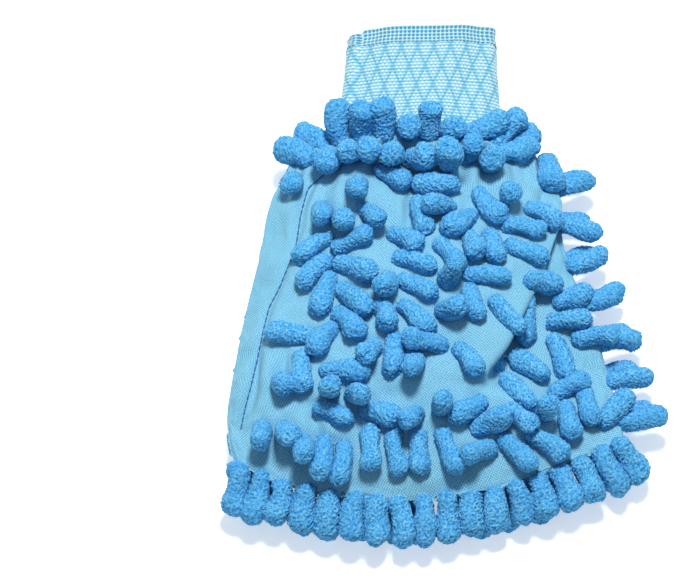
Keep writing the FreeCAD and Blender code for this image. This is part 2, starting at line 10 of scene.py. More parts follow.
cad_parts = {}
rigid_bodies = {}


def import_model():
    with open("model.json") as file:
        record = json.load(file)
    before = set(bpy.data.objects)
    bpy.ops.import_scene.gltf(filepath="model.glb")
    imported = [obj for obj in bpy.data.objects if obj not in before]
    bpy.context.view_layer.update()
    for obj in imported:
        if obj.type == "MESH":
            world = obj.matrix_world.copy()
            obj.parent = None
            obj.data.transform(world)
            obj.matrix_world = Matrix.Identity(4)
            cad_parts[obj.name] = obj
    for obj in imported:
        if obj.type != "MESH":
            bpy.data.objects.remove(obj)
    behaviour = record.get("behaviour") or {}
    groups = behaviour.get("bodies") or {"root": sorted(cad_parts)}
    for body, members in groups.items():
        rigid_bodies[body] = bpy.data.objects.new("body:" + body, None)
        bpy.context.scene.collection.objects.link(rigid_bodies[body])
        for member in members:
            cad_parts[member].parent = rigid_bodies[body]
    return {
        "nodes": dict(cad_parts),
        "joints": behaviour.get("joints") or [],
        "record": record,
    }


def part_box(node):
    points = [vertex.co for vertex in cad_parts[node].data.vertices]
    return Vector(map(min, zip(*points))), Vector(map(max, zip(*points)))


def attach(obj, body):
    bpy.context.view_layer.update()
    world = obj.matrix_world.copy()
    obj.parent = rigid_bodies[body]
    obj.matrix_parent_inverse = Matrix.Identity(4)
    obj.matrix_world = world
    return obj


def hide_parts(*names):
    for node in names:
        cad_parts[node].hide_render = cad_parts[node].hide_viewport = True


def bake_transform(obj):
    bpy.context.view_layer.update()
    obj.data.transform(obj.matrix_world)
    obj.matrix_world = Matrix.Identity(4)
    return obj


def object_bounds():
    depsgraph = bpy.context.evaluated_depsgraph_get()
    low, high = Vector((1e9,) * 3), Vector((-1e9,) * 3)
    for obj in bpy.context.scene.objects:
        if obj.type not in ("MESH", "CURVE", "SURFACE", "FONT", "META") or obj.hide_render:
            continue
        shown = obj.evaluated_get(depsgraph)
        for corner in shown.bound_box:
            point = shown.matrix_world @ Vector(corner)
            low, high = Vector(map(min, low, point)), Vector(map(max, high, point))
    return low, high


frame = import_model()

# The wash mitt over its CAD frame: two cloths run through a cloth simulation, chenille noodles set on them,
# and a knitted cuff. Metres. s runs across a cloth from its left seam to its right seam, and t from the hem
# (0) over the pocket's mouth (1), the gathers (2) and the sleeve over the cuff's root (3).

CAD_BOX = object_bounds()
MM = 0.001
SEED = 7
rng = np.random.default_rng(SEED)

RECORD = frame["record"]
BODIES = RECORD["behaviour"]["bodies"]
POCKET_BODY, CUFF_BODY = frame["joints"][0]["parent"], frame["joints"][0]["child"]

# ---- Reading the CAD frame ----


def coordinates(mesh):
    """A mesh's vertices as an array."""
    co = np.empty(len(mesh.vertices) * 3, np.float32)
    mesh.vertices.foreach_get("co", co)
    return co.reshape(-1, 3)


def points_of(node):
    return coordinates(frame["nodes"][node].data).astype(float)


def edges_of(node):
    mesh = frame["nodes"][node].data
    ends = np.empty(len(mesh.edges) * 2, np.int32)
    mesh.edges.foreach_get("vertices", ends)
    return ends.reshape(-1, 2)


def tree_of(*nodes):
    """A tree of the faces of some nodes, for casting rays and finding the nearest point."""
    verts, faces = [], []
    for node in nodes:
        base = len(verts)
        verts += [v.co for v in frame["nodes"][node].data.vertices]
        faces += [[base + i for i in p.vertices] for p in frame["nodes"][node].data.polygons]
    return BVHTree.FromPolygons(verts, faces)


def span_at(node, axis, values, along):
    """Where a node's edges cross a plane: the least and greatest coordinate along an axis, for each value."""
    points, ends = points_of(node), edges_of(node)
    a, b = points[ends[:, 0]], points[ends[:, 1]]
    found = []
    for value in values:
        cross = (a[:, axis] - value) * (b[:, axis] - value) <= 0
        p, q = a[cross], b[cross]
        rise = q[:, axis] - p[:, axis]
        share = np.where(np.abs(rise) > 1e-9, (value - p[:, axis]) / np.where(rise == 0, 1, rise), 0.5)
        place = p[:, along] + share * (q[:, along] - p[:, along])
        found.append((place.min(), place.max()))
    return np.array(found)


def rim_ellipse(node, start):
    """(centre, half width, half height) of a cuff node at its start or its end along Y."""
    points = points_of(node)
    level = points[:, 1].min() if start else points[:, 1].max()
    near = points[np.abs(points[:, 1] - level) < 0.3 * MM]
    centre = (near.min(0) + near.max(0)) / 2
    half = (near.max(0) - near.min(0)) / 2
    return np.array([centre[0], level, centre[2]]), half[0], half[2]


# ---- Making meshes ----


def new_piece(name, verts, faces, material):
    """A smooth-shaded mesh object in the scene."""
    mesh = bpy.data.meshes.new(name)
    mesh.from_pydata(verts.tolist(), [], faces.tolist() if hasattr(faces, "tolist") else faces)
    mesh.shade_smooth()
    mesh.materials.append(material)
    obj = bpy.data.objects.new(name, mesh)
    bpy.context.scene.collection.objects.link(obj)
    return obj


def add_values(obj, name, values):
    """A number at each vertex, which the piece's material reads."""
    attribute = obj.data.attributes.new(name, "FLOAT", "POINT")
    attribute.data.foreach_set("value", np.asarray(values, np.float32).ravel())


def grid_faces(rows, columns, closed=False, ring=False):
    """Quads of a grid stored row by row. closed joins its last column to its first, and ring its rows."""
    row = np.arange(rows if ring else rows - 1)[:, None]
    column = np.arange(columns if closed else columns - 1)[None, :]
    low, high = row * columns, (row + 1) % rows * columns
    after = (column + 1) % columns
    return np.stack([low + column, low + after, high + after, high + column], -1).reshape(-1, 4)


def end_caps(rings, sides):
    """The two faces that close the ends of a tube stored ring by ring."""
    last = (rings - 1) * sides
    return [list(range(sides))[::-1], [last + i for i in range(sides)]]


def smoothstep(x):
    x = np.clip(x, 0.0, 1.0)
    return x * x * (3 - 2 * x)


def steps(points, axis=0):
    """How far apart neighbouring points are."""
    return np.linalg.norm(np.diff(points, axis=axis), axis=-1)


def unit(vectors):
    return vectors / (np.linalg.norm(vectors, axis=-1, keepdims=True) + 1e-12)


def waves(position, seed, count, low, high):
    """Smooth seeded noise from about -1 to 1 over positions in metres, as a sum of waves."""
    local = np.random.default_rng(seed)
    total = np.zeros(position.shape[:-1])
    for _ in range(count):
        direction = local.normal(size=position.shape[-1])
        direction *= local.uniform(low, high) / np.linalg.norm(direction)
        total += np.sin(position @ direction + local.uniform(0, 2 * math.pi))
    return total / math.sqrt(count)


def tube(points, radius, sides=6):
    """(verts, faces) of a thin closed tube along a path."""
    points = np.asarray(points, float)
    along = unit(np.gradient(points, axis=0))
    side = unit(np.cross(along, [0.0, 0.0, 1.0]))
    up = np.cross(side, along)
    angle = np.arange(sides) * 2 * math.pi / sides
    taper = np.ones(len(points))
    taper[0] = taper[-1] = 0.35
    ring = side[:, None] * np.cos(angle)[None, :, None] + up[:, None] * np.sin(angle)[None, :, None]
    verts = points[:, None] + ring * (radius * taper)[:, None, None]
    faces = grid_faces(len(points), sides, closed=True).tolist() + end_caps(len(points), sides)
    return verts.reshape(-1, 3), faces


def join_parts(parts):
    """One (verts, faces) from several."""
    verts, faces, base = [], [], 0
    for part_verts, part_faces in parts:
        verts.append(part_verts)
        faces += [[base + i for i in face] for face in part_faces]
        base += len(part_verts)
    return np.concatenate(verts), faces


# ---- Materials ----


def linear(*display):
    """A colour from display values of 0 to 255."""
    shares = [value / 255 for value in display]
    return (*[c / 12.92 if c <= 0.04045 else ((c + 0.055) / 1.055) ** 2.4 for c in shares], 1.0)


def set_inputs(node, **values):
    """Sets a node's inputs by name, with _ for a space."""
    for name, value in values.items():
        node.inputs[name.replace("_", " ")].default_value = value


class Nodes:
    """A short way to build a node material around one Principled shader."""

    def __init__(self, name, roughness, sheen=0.0):
        self.material = bpy.data.materials.new(name)
        self.material.use_nodes = True
        self.tree = self.material.node_tree
        self.shader = self.tree.nodes["Principled BSDF"]
        set_inputs(self.shader, Roughness=roughness, Specular_IOR_Level=0.25, Sheen_Weight=sheen,
                   Sheen_Roughness=0.5)

    def add(self, kind, **settings):
        node = self.tree.nodes.new("ShaderNode" + kind)
        for key, value in settings.items():
            setattr(node, key, value)
        return node

    def link(self, source, target):
        self.tree.links.new(source, target)

    def put(self, target, value):
        """Sets a socket to a number or links it to another socket."""
        if isinstance(value, bpy.types.NodeSocket):
            self.link(value, target)
        else:
            target.default_value = value

    def math(self, operation, a, b=0.0):
        node = self.add("Math", operation=operation)
        self.put(node.inputs[0], a)
        self.put(node.inputs[1], b)
        return node.outputs[0]

    def mix(self, share, a, b):
        node = self.add("Mix", data_type="RGBA")
        self.put(node.inputs["Factor"], share)
        self.put(node.inputs[6], a)
        self.put(node.inputs[7], b)
        return node.outputs[2]

    def attribute(self, name):
        return self.add("Attribute", attribute_name=name).outputs["Fac"]

    def place(self, scale=(1, 1, 1), turn=0.0, uv=False):
        """Positions on the piece, scaled and turned about Z."""
        if uv:
            source = self.add("UVMap").outputs[0]
        else:
            source = self.add("TexCoord").outputs["Object"]
        mapping = self.add("Mapping")
        set_inputs(mapping, Rotation=(0.0, 0.0, turn), Scale=scale)
        self.link(source, mapping.inputs["Vector"])
        return mapping.outputs[0]

    def noise(self, position, scale, detail=3.0):
        node = self.add("TexNoise")
        self.link(position, node.inputs["Vector"])
        set_inputs(node, Scale=scale, Detail=detail)
        return node.outputs["Fac"]

    def wave(self, position, period, distortion=0.6):
        """Bands along X. A wave texture of scale 1 repeats every pi / 10."""
        node = self.add("TexWave", wave_type="BANDS", bands_direction="X")
        self.link(position, node.inputs["Vector"])
        set_inputs(node, Scale=math.pi / 10 / period, Distortion=distortion, Detail=1.0)
        return node.outputs["Fac"]

    def ramp(self, share, *stops):
        node = self.add("ValToRGB")
        elements = node.color_ramp.elements
        while len(elements) < len(stops):
            elements.new(0.5)
        for element, (place, colour) in zip(elements, stops):
            element.position = place
            element.color = colour
        self.link(share, node.inputs["Fac"])
        return node.outputs["Color"]

    def bump(self, height, distance, strength=1.0):
        node = self.add("Bump")
        set_inputs(node, Distance=distance, Strength=strength)
        self.link(height, node.inputs["Height"])
        self.link(node.outputs["Normal"], self.shader.inputs["Normal"])

    def colour(self, socket):
        self.link(socket, self.shader.inputs["Base Color"])
        return self.material


def cloth_material(name, base, thread, shade):
    """Fine plain weave: two sets of threads at right angles, slubs, and a soft mottling."""
    n = Nodes(name, roughness=0.86, sheen=0.12)
    weft = n.wave(n.place(uv=True, turn=math.radians(38)), 0.95 * MM, 1.2)
    warp = n.wave(n.place(uv=True, turn=math.radians(-52)), 0.95 * MM, 1.2)
    slubs = n.noise(n.place(scale=(1, 2, 1), uv=True), 1100.0, 3.0)
    threads = n.math("MULTIPLY", n.math("MULTIPLY", weft, warp), 0.5)
    cells = n.math("ADD", threads, n.math("MULTIPLY", slubs, 0.75))
    mottle = n.noise(n.place(uv=True), 45.0, 4.0)
    weave = n.ramp(cells, (0.27, shade), (0.5, base), (0.73, thread))
    n.bump(cells, 0.22 * MM, 0.8)
    return n.colour(n.mix(n.math("MULTIPLY", mottle, 0.3), weave, thread))


def chenille_material():
    """Looped pile, coloured by pile height: painted shade, dark navy, between the nubs and a painted
    highlight, pale, at their tips; a fine fibre grain whose pale specks are partly painted glints; and a soft
    sheen.
    """
    n = Nodes("chenille", roughness=0.94, sheen=0.08)
    set_inputs(n.shader, Sheen_Tint=linear(150, 215, 250))
    nub, tint = n.attribute("nub"), n.attribute("tint")
    grain = n.noise(n.place(), 1200.0, 3.0)
    # The fibre grain gets strong contrast, so its pale specks are partly fibre grain and partly painted
    # highlight.
    fibre_grain_and_glints = n.math("SUBTRACT", n.math("MULTIPLY", grain, 0.95), 0.2)
    level = n.math("ADD", n.math("MULTIPLY", nub, 0.42), fibre_grain_and_glints)
    # Painted light: the darkest stop is painted shade in the gaps between nubs, and the palest stop is a
    # painted highlight on the nub tips.
    pile = n.ramp(
        level,
        (0.1, linear(12, 80, 158)),
        (0.3, linear(50, 142, 208)),
        (0.5, linear(90, 178, 228)),
        (0.8, linear(152, 216, 242)),
    )
    n.bump(grain, 0.7 * MM, 0.9)
    return n.colour(n.mix(tint, pile, linear(66, 152, 214)))


def knit_material():
    """Knit: the stitch attribute is high on a loop and low in the gaps between loops. The colour ramp paints
    the gaps dark as painted shade and the loop tops pale as a painted highlight.
    """
    n = Nodes("knit", roughness=0.8, sheen=0.3)
    stitch = n.attribute("stitch")
    fibre = n.noise(n.place(scale=(1, 4, 1)), 1500.0, 2.0)
    level = n.math("ADD", n.math("MULTIPLY", stitch, 0.9), n.math("MULTIPLY", fibre, 0.16))
    # Painted shade at low stitch values, in the gaps and along the lattice's grooves; painted highlight at
    # high values, on the loop tops.
    yarn = n.ramp(
        level,
        (0.1, linear(40, 114, 150)),
        (0.34, linear(90, 168, 198)),
        (0.62, linear(148, 200, 215)),
        (0.9, linear(214, 230, 232)),
    )
    n.bump(fibre, 0.15 * MM, 0.6)
    return n.colour(yarn)


def wound_material(name, roughness, sheen, turn, period, distortion, depth, strength, dark, light):
    """A thread or a covered elastic: fine turns of yarn round it."""
    n = Nodes(name, roughness, sheen)
    twist = n.wave(n.place(turn=turn), period, distortion)
    n.bump(twist, depth, strength)
    return n.colour(n.ramp(twist, (0.2, dark), (0.8, light)))


def floor_material():
    n = Nodes("floor", roughness=0.7)
    set_inputs(n.shader, Emission_Color=(1.0, 1.0, 1.0, 1.0), Emission_Strength=0.45)
    soft = n.noise(n.place(), 3.0, 2.0)
    return n.colour(n.ramp(soft, (0.0, linear(250, 251, 252)), (1.0, linear(254, 254, 254))))


CLOTH = cloth_material("woven_cloth", linear(110, 181, 210), linear(158, 212, 226), linear(58, 136, 184))
CHENILLE = chenille_material()
KNIT = knit_material()
# The thread's dark navy also draws the left crease's dark line, where it is painted shade.
THREAD = wound_material("sewing_thread", 0.6, 0.2, 0.8, 0.4 * MM, 0.3, 0.1 * MM, 0.6,
                        linear(20, 84, 146), linear(52, 124, 184))
ELASTIC = wound_material("covered_elastic", 0.65, 0.1, 0.5, 0.45 * MM, 0.2, 0.12 * MM, 0.7,
                         linear(176, 208, 218), linear(226, 240, 244))

# ---- The two cloths ----

ACROSS = 84  # cells across a cloth in the simulation
POCKET_ROWS = 78  # cells from the hem to the mouth
GATHER_ROWS = 6
SLEEVE_ROWS = 4
SLEEVE_LENGTH = 6 * MM
SLEEVE_GAP = 0.8 * MM
CLOTH_THICKNESS = 1.5 * MM
CLOTH_EASE = 0.03  # how much larger the cloth is cut than the shape that it lies on


def outline():
    """(left seam, right seam, hem) as functions of their own coordinate, read from the palm's panel."""
    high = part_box("palm_panel")[1]
    hem_points = points_of("hem_seam")
    left_corner = hem_points[hem_points[:, 0].argmin()]
    right_corner = hem_points[hem_points[:, 0].argmax()]
    ys = np.linspace(min(left_corner[1], right_corner[1]) + 0.4 * MM, high.y - 0.2 * MM, 60)
    sides = span_at("palm_panel", 1, ys, 0)
    xs = np.linspace(left_corner[0] + 0.6 * MM, right_corner[0] - 0.6 * MM, 60)
    bottoms = span_at("palm_panel", 0, xs, 1)[:, 0]
    return (
        (left_corner, right_corner, high.y),
        lambda y: np.interp(y, ys, sides[:, 0]),
        lambda y: np.interp(y, ys, sides[:, 1]),
        lambda x: np.interp(x, xs, bottoms),
    )


def pocket_plan(u, v):
    """Plan positions of the pocket at arrays u across and v along, as a patch between its four edges."""
    (left_corner, right_corner, mouth), left, right, hem = OUTLINE
    left_y = left_corner[1] + v * (mouth - left_corner[1])
    right_y = right_corner[1] + v * (mouth - right_corner[1])
    side_left = np.stack([left(left_y), left_y], -1)
    side_right = np.stack([right(right_y), right_y], -1)
    hem_x = left_corner[0] + u * (right_corner[0] - left_corner[0])
    bottom = np.stack([hem_x, hem(hem_x)], -1)
    u, v = u[..., None], v[..., None]
    corners = left_corner[:2] * (1 - u) + right_corner[:2] * u
    return side_left * (1 - u) + side_right * u + (bottom - corners) * (1 - v)


def cad_surface(side):
    """The cloth's grid lying on the CAD panel: side is 1 for the palm, -1 for the back."""
    panel = "palm_panel" if side > 0 else "back_panel"
    tree = tree_of(panel)
    low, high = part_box(panel)
    rim_level = low.z if side > 0 else high.z
    s = np.linspace(0, 1, ACROSS + 1)
    u = (1 - np.cos(math.pi * s)) / 2
    v = 1 - np.cos(math.pi / 2 * np.linspace(0, 1, POCKET_ROWS + 1) ** 0.8)
    v[-1] = 1.0
    uu, vv = np.meshgrid(u, v)
    plan = pocket_plan(uu, vv)
    grid = np.dstack([plan, np.full(plan.shape[:2], rim_level)])
    start = high.z + 0.1 if side > 0 else low.z - 0.1
    centre = plan.mean((0, 1))
    for i in range(1, POCKET_ROWS + 1):
        for j in range(1, ACROSS):
            x, y = plan[i, j] + (centre - plan[i, j]) * 0.004
            hit = tree.ray_cast(Vector((x, y, start)), Vector((0, 0, -side)))[0]
            if hit is not None:
                grid[i, j, 2] = hit.z
    return grid


def cuff_section(side, y, s, offset):
    """Points round one side of the cuff's oval at a distance along Y."""
    centre_a, width_a, height_a = rim_ellipse("cuff_knit", True)
    centre_b, width_b, height_b = rim_ellipse("cuff_knit", False)
    share = (y - centre_a[1]) / (centre_b[1] - centre_a[1])
    centre = centre_a + (centre_b - centre_a) * share
    width = width_a + (width_b - width_a) * share + offset
    height = height_a + (height_b - height_a) * share + offset
    angle = math.pi * s
    return np.stack(
        [centre[0] - width * np.cos(angle), np.full_like(s, y), centre[2] + side * height * np.sin(angle)], -1
    )


def add_neck(grid, side):
    """The grid with its gathers, from the mouth to the cuff's root, and its sleeve over the root."""
    s = np.linspace(0, 1, ACROSS + 1)
    mouth = grid[-1]
    root = rim_ellipse("cuff_knit", True)[0][1]
    oval = cuff_section(side, root, s, SLEEVE_GAP)
    rows = [grid]
    for k in range(1, GATHER_ROWS + 1):
        share = k / GATHER_ROWS
        rows.append((mouth * (1 - share) + oval * share)[None])
    for k in range(1, SLEEVE_ROWS + 1):
        rows.append(cuff_section(side, root + SLEEVE_LENGTH * k / SLEEVE_ROWS, s, SLEEVE_GAP)[None])
    return np.concatenate(rows)


def grid_normals(grid, side):
    """The directions out of a cloth's grid: up on the palm and down on the back."""
    normal = unit(np.cross(np.gradient(grid, axis=1), np.gradient(grid, axis=0)))
    return normal * np.where(normal[..., 2:3].mean() * side > 0, 1.0, -1.0)


def distance_to_path(position, path):
    """(signed distance, share along it) of plan positions from a path. Positive is on the path's left."""
    best = np.full(position.shape[:-1], 1e9)
    signed, share = np.zeros_like(best), np.zeros_like(best)
    for k in range(len(path) - 1):
        a, b = path[k], path[k + 1]
        d = b - a
        t = np.clip(((position - a) @ d) / (d @ d), 0, 1)
        off = position - a - t[..., None] * d
        length = np.linalg.norm(off, axis=-1)
        near = length < best
        sign = np.sign(d[0] * off[..., 1] - d[1] * off[..., 0])
        signed = np.where(near, sign * length, signed)
        share = np.where(near, (k + t) / (len(path) - 1), share)
        best = np.where(near, length, best)
    return signed, share


def on_palm(points):
    """Plan positions from shares of the palm's box: 0 to 1 across and from hem to mouth."""
    low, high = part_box("palm_panel")
    return np.array([[low.x + a * (high.x - low.x), low.y + b * (high.y - low.y)] for a, b in points])


def smooth_path(points, count=40):
    """A path through points, evenly spaced and rounded by averaging."""
    points = np.asarray(points, float)
    at = np.linspace(0, len(points) - 1, count)
    path = np.stack([np.interp(at, np.arange(len(points)), points[:, k]) for k in range(points.shape[1])], -1)
    for _ in range(6):
        path[1:-1] = (path[:-2] + 2 * path[1:-1] + path[2:]) / 4
    return path


# The edge of the big fold down the palm's right side, from the seam at its top to the middle.
FOLD_EDGE = [(0.85, 0.944), (0.845, 0.842), (0.82, 0.746), (0.8, 0.66), (0.775, 0.581), (0.74, 0.504),
             (0.707, 0.415), (0.662, 0.338), (0.628, 0.261)]
FOLD_DROP = 12.5 * MM
FOLD_REACH = 60 * MM  # how far to the fold's right the cloth is lowered
FOLD_LIFT = 2.5 * MM
FOLD_OVERHANG = 7.0 * MM
FOLD_TRENCH = 10.0 * MM  # the extra depth just under the fold's edge
FOLD_WIDTH = 2.6 * MM
TRENCH_WIDTH = 3.5 * MM
# The seam that lies on the palm, near its left edge.
CREASE = [(0.256, 0.944), (0.2, 0.896), (0.181, 0.812), (0.169, 0.712), (0.149, 0.653), (0.127, 0.594),
          (0.101, 0.54), (0.088, 0.477), (0.073, 0.392), (0.059, 0.321), (0.042, 0.25), (0.03, 0.183)]
CREASE_DEPTH = 2.0 * MM
CREASE_WIDTH = 1.3 * MM
# Soft wrinkles: two beside the seam, one over the hem, three down from the neck.
WRINKLES = [
    [(0.082, 0.42), (0.07, 0.3), (0.048, 0.2)],
    [(0.15, 0.42), (0.135, 0.34), (0.128, 0.27)],
    [(0.21, 0.25), (0.222, 0.18), (0.231, 0.11)],
    [(0.48, 0.99), (0.465, 0.84), (0.448, 0.66)],
    [(0.6, 0.99), (0.592, 0.92), (0.586, 0.83)],
    [(0.812, 0.98), (0.8, 0.84), (0.785, 0.7)],
]
WRINKLE_DEPTH = 3.2 * MM
WRINKLE_WIDTH = 1.7 * MM
DIMPLE_DEPTH = 2.0 * MM  # where the stitching pulls the cloth in under each noodle
DIMPLE_WIDTH = 5.0 * MM
PLEAT_HEIGHT, PLEATS, PLEATS_FROM = 3.0 * MM, 17, 0.62  # from a share of the way up the palm
BROAD_HEIGHT, BROAD_PLEATS, BROAD_FROM = 4.0 * MM, 6, 0.4
SEAM_COVER = 2.4 * MM  # how far the palm stays over its seam, to cover what is sewn inside


def pleats(s, t, seed, count):
    """Ridges that run up to the neck: 0 to 1, with their phase wandering."""
    local = np.random.default_rng(seed)
    wander = np.zeros_like(s)
    for _ in range(4):
        amount = local.uniform(0.3, 1.0)
        wander += amount * np.sin(local.uniform(4, 17) * s + local.uniform(0, 6.3) + 2.2 * (1 - t))
    ridge = 0.5 + 0.5 * np.sin(2 * math.pi * count * s + 1.3 * wander)
    strength = 0.55 + 0.45 * np.sin(local.uniform(5, 9) * s * math.pi + local.uniform(0, 6.3))
    return ridge**1.6 * (0.45 + 0.55 * strength)


def fold_palm(shaped, plan, inside):
    """Lowers the cloth to the right of the fold's edge, and draws the edge over it."""
    path = smooth_path(on_palm(FOLD_EDGE))
    distance, along = distance_to_path(plan, path)
    fade = smoothstep(along / 0.2) * smoothstep((1 - along) / 0.25)
    right_of_it = smoothstep(0.5 + distance / FOLD_WIDTH / 2)
    far = smoothstep(1.15 - np.abs(distance) / FOLD_REACH)
    trench = FOLD_TRENCH * np.exp(-(((distance - TRENCH_WIDTH) / TRENCH_WIDTH) ** 2)) * right_of_it
    drop = FOLD_LIFT * (1 - right_of_it) - FOLD_DROP * right_of_it
    shaped[..., 2] += (drop * far - trench) * fade * inside
    direction = unit(np.gradient(path, axis=0))
    nearest = np.clip((along * (len(path) - 1)).astype(int), 0, len(path) - 1)
    outward = np.stack([-direction[nearest, 1], direction[nearest, 0]], -1)
    spread = np.clip(np.abs(distance) / FOLD_WIDTH, 0, 8)
    pull = -np.sign(distance) * FOLD_OVERHANG * spread * np.exp(1 - spread) * 0.75
    shaped[..., :2] += outward * (pull * fade)[..., None]


def press_groove(shaped, plan, normal, points, depth, width, ends):
    """Presses a groove with plump sides along a line of the palm. It fades over a share at each end."""
    distance, along = distance_to_path(plan, smooth_path(on_palm(points)))
    fade = smoothstep(along / ends) * smoothstep((1 - along) / ends)
    groove = np.exp(-((distance / width) ** 2))
    plump = np.exp(-(((np.abs(distance) - 3.3 * width) / (2.5 * width)) ** 2))
    shaped += normal * ((0.5 * plump - groove) * depth * fade)[..., None]


def shape_cloth(grid, side, roots):
    """The folds, gathers and dimples that the cloth has before it is let go."""
    rows = grid.shape[0]
    s = np.broadcast_to(np.linspace(0, 1, ACROSS + 1), (rows, ACROSS + 1))
    t = np.broadcast_to(np.linspace(0, rows / POCKET_ROWS, rows)[:, None], s.shape)
    plan = grid[..., :2]
    shaped = grid.copy()
    normal = grid_normals(grid, side)
    inside = np.sin(math.pi * s) ** 0.5
    low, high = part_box("palm_panel")
    up = (plan[..., 1] - low.y) / (high.y - low.y)
    gather = smoothstep((up - PLEATS_FROM) / (1 - PLEATS_FROM))
    fine = pleats(s, t, 31 + side, PLEATS) * PLEAT_HEIGHT * gather
    broad = pleats(s, t, 53 + side, BROAD_PLEATS) * BROAD_HEIGHT * smoothstep((up - BROAD_FROM) / 0.55)
    swell = (waves(plan, 77 + side, 7, 40, 130) + waves(plan, 91 + side, 9, 130, 280) * 0.5) * MM * inside
    sleeve = np.clip((np.arange(rows) - POCKET_ROWS - GATHER_ROWS) / SLEEVE_ROWS, 0, 1)[:, None]
    shaped += normal * ((fine + broad) * inside * (1 - 0.75 * sleeve) + swell * (1 - gather))[..., None]
    if side > 0:
        fold_palm(shaped, plan, inside)
        press_groove(shaped, plan, normal, CREASE, CREASE_DEPTH, CREASE_WIDTH, 0.05)
        for line in WRINKLES:
            press_groove(shaped, plan, normal, line, WRINKLE_DEPTH, WRINKLE_WIDTH, 0.4)
    off_the_seam = smoothstep(inside * 1.6 - 0.4)
    for root in roots:
        far = np.linalg.norm(plan - np.array(root)[:2], axis=-1)
        dimple = DIMPLE_DEPTH * np.exp(-((far / DIMPLE_WIDTH) ** 2))
        shaped -= normal * (dimple * off_the_seam)[..., None]
    if side > 0:
        least = grid[0, 0, 2] + SEAM_COVER * smoothstep(np.sin(math.pi * s) * 6) * (up < 0.95)
        shaped[..., 2] = np.maximum(shaped[..., 2], least)
    return shaped


def held_by_folds(plan):
    """How firmly the palm's fold and seam hold the cloth near them, from 0 to 1."""
    firm = np.zeros(plan.shape[:-1])
    paths = [(FOLD_EDGE, 7 * MM, 0.85), (CREASE, 3 * MM, 0.85)]
    paths += [(line, 5 * MM, 0.6) for line in WRINKLES]
    for points, width, most in paths:
        distance, along = distance_to_path(plan, smooth_path(on_palm(points)))
        fade = smoothstep(along / 0.1) * smoothstep((1 - along) / 0.1)
        firm = np.maximum(firm, most * np.exp(-((distance / width) ** 4)) * fade)
    return firm


def simulate(obj, held, growth, frames=22):
    """Lets a cloth go, cut larger by a share. held is 1 where a point is fixed and 0 where it is free."""
    group = obj.vertex_groups.new(name="held")
    for index, weight in enumerate(held):
        if weight > 0:
            group.add([index], float(weight), "REPLACE")
    modifier = obj.modifiers.new("Cloth", "CLOTH")
    settings = modifier.settings
    settings.quality = 7
    settings.mass = 0.15
    settings.tension_stiffness = 25
    settings.compression_stiffness = 25
    settings.shear_stiffness = 12
    settings.bending_stiffness = 0.12
    settings.air_damping = 4
    settings.vertex_group_mass = "held"
    settings.pin_stiffness = 1.6
    settings.shrink_min = -growth
    settings.effector_weights.gravity = 0.0
    modifier.collision_settings.use_collision = False
    modifier.point_cache.frame_start = 1
    modifier.point_cache.frame_end = frames
    scene = bpy.context.scene
    for number in range(1, frames + 1):
        scene.frame_set(number)
    evaluated = obj.evaluated_get(bpy.context.evaluated_depsgraph_get())
    co = coordinates(evaluated.data)
    obj.modifiers.remove(modifier)
    obj.vertex_groups.clear()
    scene.frame_set(1)
    if np.isfinite(co).all():
        obj.data.vertices.foreach_set("co", co.ravel())
        obj.data.update()


def cloth_flat_uv(obj, grid):
    """Texture coordinates in metres of cloth, across and along."""
    across = steps(grid, 1)
    u = np.concatenate([np.zeros((grid.shape[0], 1)), np.cumsum(across, 1)], 1)
    u -= u[:, ACROSS // 2][:, None]
    along = steps(grid).mean(1)
    v = np.concatenate([[0], np.cumsum(along)])
    uv = np.stack([u, np.broadcast_to(v[:, None], u.shape)], -1).reshape(-1, 2)
    layer = obj.data.uv_layers.new(name="cloth")
    loops = np.empty(len(obj.data.loops), np.int32)
    obj.data.loops.foreach_get("vertex_index", loops)
    layer.data.foreach_set("uv", uv[loops].astype(np.float32).ravel())


def apply_modifiers(obj):
    """Makes a piece's modifiers part of its mesh."""
    depsgraph = bpy.context.evaluated_depsgraph_get()
    mesh = bpy.data.meshes.new_from_object(obj.evaluated_get(depsgraph), preserve_all_data_layers=True,
                                           depsgraph=depsgraph)
    obj.modifiers.clear()
    obj.data = mesh


ROOT_REACH = 7 * MM  # how far round a noodle's root its stitching holds the cloth


def held_points(flat, side, roots, tree):
    """How firmly each point is held: fully at the seams and cuff, and partly at folds and noodles' roots."""
    held = np.zeros(flat.shape[:2])
    held[0] = held[:, 0] = held[:, -1] = 1
    held[1] = held[:, 1] = held[:, -2] = 0.7
    held[POCKET_ROWS + GATHER_ROWS - 1:] = 1
    if side > 0:
        held = np.maximum(held, held_by_folds(flat[..., :2]))
    held = held.ravel()
    for root in roots:
        for _, index, far in tree.find_range(root, ROOT_REACH):
            held[index] = max(held[index], 0.75 * (1 - far / ROOT_REACH))
    return held


def make_cloth(name, side, roots, replaced):
    """One side's cloth, and a function that gives how far the cloth at a CAD point has moved."""
    flat = add_neck(cad_surface(side), side)
    shaped = shape_cloth(flat, side, roots)
    rows = flat.shape[0]
    faces = grid_faces(rows, ACROSS + 1)
    if side < 0:
        faces = faces[:, ::-1]
    obj = new_piece(name, shaped.reshape(-1, 3), faces, CLOTH)
    cloth_flat_uv(obj, shaped)
    points = flat.reshape(-1, 3)
    tree = KDTree(len(points))
    for index, point in enumerate(points):
        tree.insert(point, index)
    tree.balance()
    simulate(obj, held_points(flat, side, roots, tree), growth=CLOTH_EASE)
    moved = coordinates(obj.data)

    def shift(point):
        index = tree.find(point)[1]
        return moved[index] - points[index]

    smooth = obj.modifiers.new("Subdivision", "SUBSURF")
    smooth.levels = smooth.render_levels = 1
    thick = obj.modifiers.new("Solidify", "SOLIDIFY")
    thick.thickness = CLOTH_THICKNESS
    thick.offset = -1
    apply_modifiers(obj)
    root = rim_ellipse("cuff_knit", True)[0]
    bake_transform(obj)
    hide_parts(*replaced)
    return obj, shift


# ---- Noodles ----

